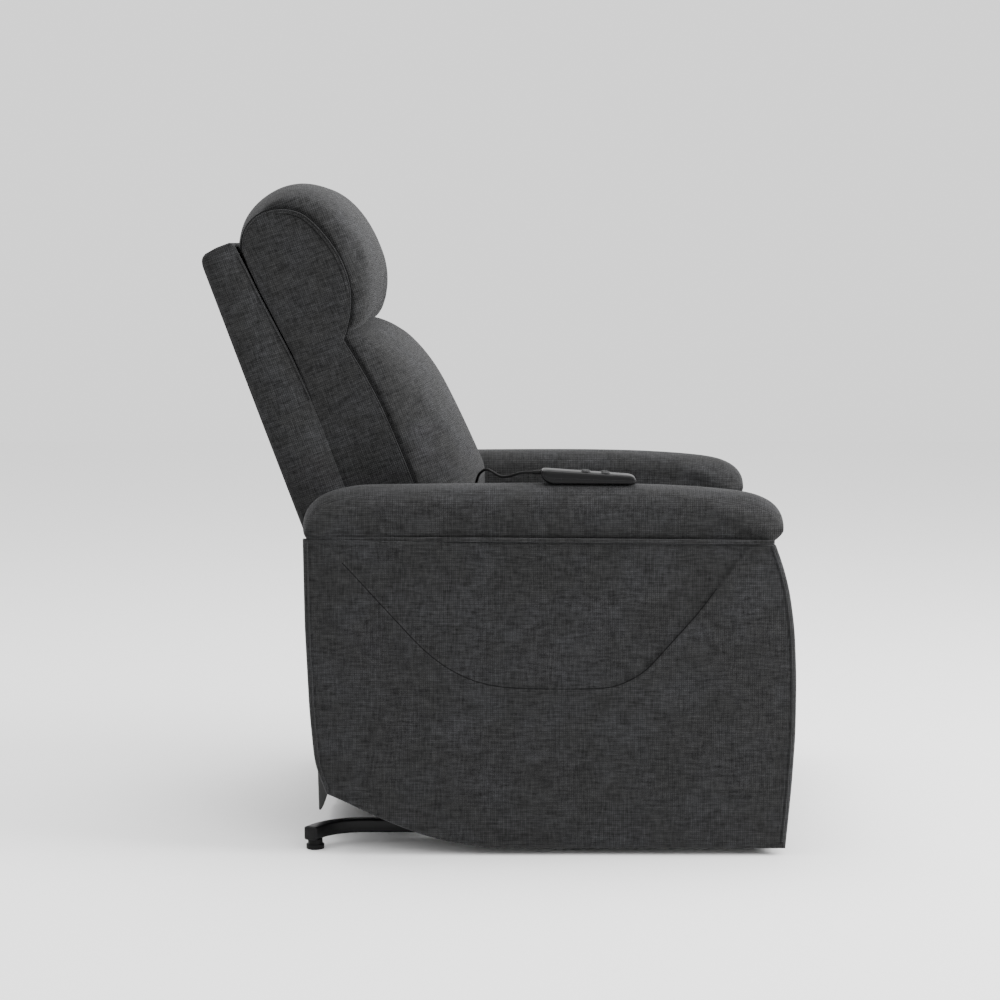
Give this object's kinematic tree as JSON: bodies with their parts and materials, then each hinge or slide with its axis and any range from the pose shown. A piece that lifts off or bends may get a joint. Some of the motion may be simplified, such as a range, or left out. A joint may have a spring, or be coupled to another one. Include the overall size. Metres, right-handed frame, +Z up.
{
  "type": "lift recliner armchair",
  "caption": "Upholstered power lift recliner armchair with padded arms, a leaning back, a raising footrest, a lift base and a wired handset.",
  "frame": {"origin": "on the floor, at the centre of the chair's bounding box", "axes": "+X to the front of the chair, +Y to the sitter's left, +Z up"},
  "size_m": [0.9738, 0.804, 1.1034],
  "materials": {
    "upholstery": "matt charcoal woven cloth",
    "dust_cloth": "thin black non-woven cloth",
    "frame_steel": "satin black powder coat",
    "spring_steel": "bright drawn steel",
    "timber": "sawn pale wood",
    "housing_plastic": "fine-grained black moulding",
    "rubber": "matt black"
  },
  "bodies": {
    "base": {"base_rail_left": "frame_steel", "base_rail_right": "frame_steel", "base_front_crossbar": "frame_steel", "base_rear_crossbar": "frame_steel", "base_bracket_left": "frame_steel", "base_bracket_right": "frame_steel"},
    "glide_front_left": {"glide_front_left": "rubber"},
    "glide_front_right": {"glide_front_right": "rubber"},
    "glide_rear_left": {"glide_rear_left": "rubber"},
    "glide_rear_right": {"glide_rear_right": "rubber"},
    "lift_arms": {"lift_torque_tube": "frame_steel", "lift_arm_left": "frame_steel", "lift_arm_right": "frame_steel"},
    "guide_links": {"guide_link_left": "frame_steel", "guide_link_right": "frame_steel"},
    "lift_motor": {"lift_motor": "housing_plastic"},
    "lift_spindle": {"lift_spindle": "spring_steel"},
    "chair": {"side_plate_left": "frame_steel", "side_plate_right": "frame_steel", "front_rail": "frame_steel", "rear_bar": "frame_steel", "motor_bar": "frame_steel", "rear_rail": "timber", "seat_springs": "spring_steel", "seat_cushion": "upholstery", "arm_outer_panel_left": "upholstery", "arm_outer_panel_right": "upholstery", "arm_inner_panel_left": "upholstery", "arm_inner_panel_right": "upholstery", "arm_front_post_left": "upholstery", "arm_front_post_right": "upholstery", "arm_pad_left": "upholstery", "arm_pad_right": "upholstery", "dust_cover": "dust_cloth", "handset_case": "housing_plastic", "handset_cord": "rubber", "cord_grommet": "rubber", "control_box": "housing_plastic"},
    "back": {"back_shell": "upholstery", "back_frame": "timber", "lumbar_cushion": "upholstery", "head_cushion": "upholstery", "recline_yoke": "frame_steel"},
    "recline_motor": {"recline_motor": "housing_plastic"},
    "recline_spindle": {"recline_spindle": "spring_steel"},
    "footrest_thigh": {"footrest_drive": "frame_steel"},
    "footrest_shin": {"shin_link_left": "frame_steel", "shin_link_right": "frame_steel"},
    "parallel_thigh": {"parallel_thigh_link_left": "frame_steel", "parallel_thigh_link_right": "frame_steel"},
    "parallel_shin": {"parallel_shin_link_left": "frame_steel", "parallel_shin_link_right": "frame_steel"},
    "ottoman": {"footrest_bracket_left": "frame_steel", "footrest_bracket_right": "frame_steel", "footrest_board": "timber", "footrest_pad": "upholstery"},
    "button_raise": {"handset_button_raise": "rubber"},
    "button_lower": {"handset_button_lower": "rubber"},
    "button_recline": {"handset_button_recline": "rubber"},
    "button_footrest": {"handset_button_footrest": "rubber"}
  },
  "joints": [
    {"name": "glide_front_left_turn", "type": "hinge", "parent": "base", "child": "glide_front_left", "pos_m": [0.318, 0.2915, 0.008], "axis": [0, 0, 1], "continuous": true},
    {"name": "glide_front_right_turn", "type": "hinge", "parent": "base", "child": "glide_front_right", "pos_m": [0.318, -0.2915, 0.008], "axis": [0, 0, 1], "continuous": true},
    {"name": "glide_rear_left_turn", "type": "hinge", "parent": "base", "child": "glide_rear_left", "pos_m": [-0.3003, 0.3398, 0.008], "axis": [0, 0, 1], "continuous": true},
    {"name": "glide_rear_right_turn", "type": "hinge", "parent": "base", "child": "glide_rear_right", "pos_m": [-0.3003, -0.3398, 0.008], "axis": [0, 0, 1], "continuous": true},
    {"name": "lift", "type": "hinge", "parent": "base", "child": "lift_arms", "pos_m": [0.25, 0, 0.13], "axis": [0, 1, 0], "range_deg": [0, 60]},
    {"name": "chair_tilt", "type": "hinge", "parent": "lift_arms", "child": "chair", "pos_m": [-0.08, 0, 0.16], "axis": [0, 1, 0], "range_deg": [-33, 1]},
    {"name": "guide_swing", "type": "hinge", "parent": "base", "child": "guide_links", "pos_m": [0.2965, 0, 0.1141], "axis": [0, 1, 0], "range_deg": [-1, 69]},
    {"name": "lift_motor_swing", "type": "hinge", "parent": "base", "child": "lift_motor", "pos_m": [-0.189, 0, 0.062], "axis": [0, 1, 0], "range_deg": [-1, 2]},
    {"name": "lift_extend", "type": "slide", "parent": "lift_motor", "child": "lift_spindle", "axis": [0.9657, 0, 0.2596], "range_m": [-0.001, 0.051]},
    {"name": "recline", "type": "hinge", "parent": "chair", "child": "back", "pos_m": [-0.2, 0, 0.395], "axis": [0, -1, 0], "range_deg": [0, 35]},
    {"name": "recline_motor_swing", "type": "hinge", "parent": "chair", "child": "recline_motor", "pos_m": [0.19, 0.07, 0.28], "axis": [0, 1, 0], "range_deg": [-1, 1]},
    {"name": "recline_retract", "type": "slide", "parent": "recline_motor", "child": "recline_spindle", "axis": [-0.9956, 0, 0.0934], "range_m": [-0.05, 0.001]},
    {"name": "footrest", "type": "hinge", "parent": "chair", "child": "footrest_thigh", "pos_m": [0.3, 0, 0.308], "axis": [0, -1, 0], "range_deg": [0, 88]},
    {"name": "footrest_shin_swing", "type": "hinge", "parent": "footrest_thigh", "child": "footrest_shin", "pos_m": [0.2644, 0, 0.10611], "axis": [0, -1, 0], "range_deg": [-89, 1]},
    {"name": "parallel_thigh_swing", "type": "hinge", "parent": "chair", "child": "parallel_thigh", "pos_m": [0.33686, 0, 0.33381], "axis": [0, -1, 0], "range_deg": [-1, 89]},
    {"name": "parallel_shin_swing", "type": "hinge", "parent": "footrest_thigh", "child": "parallel_shin", "pos_m": [0.27482, 0, 0.1652], "axis": [0, -1, 0], "range_deg": [-89, 1]},
    {"name": "ottoman_swing", "type": "hinge", "parent": "footrest_shin", "child": "ottoman", "pos_m": [0.42004, 0, 0.21509], "axis": [0, -1, 0], "range_deg": [-1, 89]},
    {"name": "press_raise", "type": "slide", "parent": "chair", "child": "button_raise", "axis": [-0.0685, 0, -0.9977], "range_m": [0, 0.0012], "stiffness_N_per_m": 400},
    {"name": "press_lower", "type": "slide", "parent": "chair", "child": "button_lower", "axis": [-0.0685, 0, -0.9977], "range_m": [0, 0.0012], "stiffness_N_per_m": 400},
    {"name": "press_recline", "type": "slide", "parent": "chair", "child": "button_recline", "axis": [-0.0685, 0, -0.9977], "range_m": [0, 0.0012], "stiffness_N_per_m": 400},
    {"name": "press_footrest", "type": "slide", "parent": "chair", "child": "button_footrest", "axis": [-0.0685, 0, -0.9977], "range_m": [0, 0.0012], "stiffness_N_per_m": 400}
  ],
  "couplings": [
    {"joint": "chair_tilt", "follows": "lift", "ratio": -0.53333},
    {"joint": "guide_swing", "follows": "lift", "ratio": 1.12},
    {"joint": "lift_motor_swing", "follows": "lift", "ratio": 0.017348},
    {"joint": "lift_extend", "follows": "lift", "m_per_rad": 0.047268},
    {"joint": "recline_motor_swing", "follows": "recline", "ratio": 0.006702},
    {"joint": "recline_retract", "follows": "recline", "m_per_rad": -0.078741},
    {"joint": "footrest_shin_swing", "follows": "footrest", "ratio": -1},
    {"joint": "parallel_thigh_swing", "follows": "footrest", "ratio": 1},
    {"joint": "parallel_shin_swing", "follows": "footrest", "ratio": -1},
    {"joint": "ottoman_swing", "follows": "footrest", "ratio": 1}
  ]
}
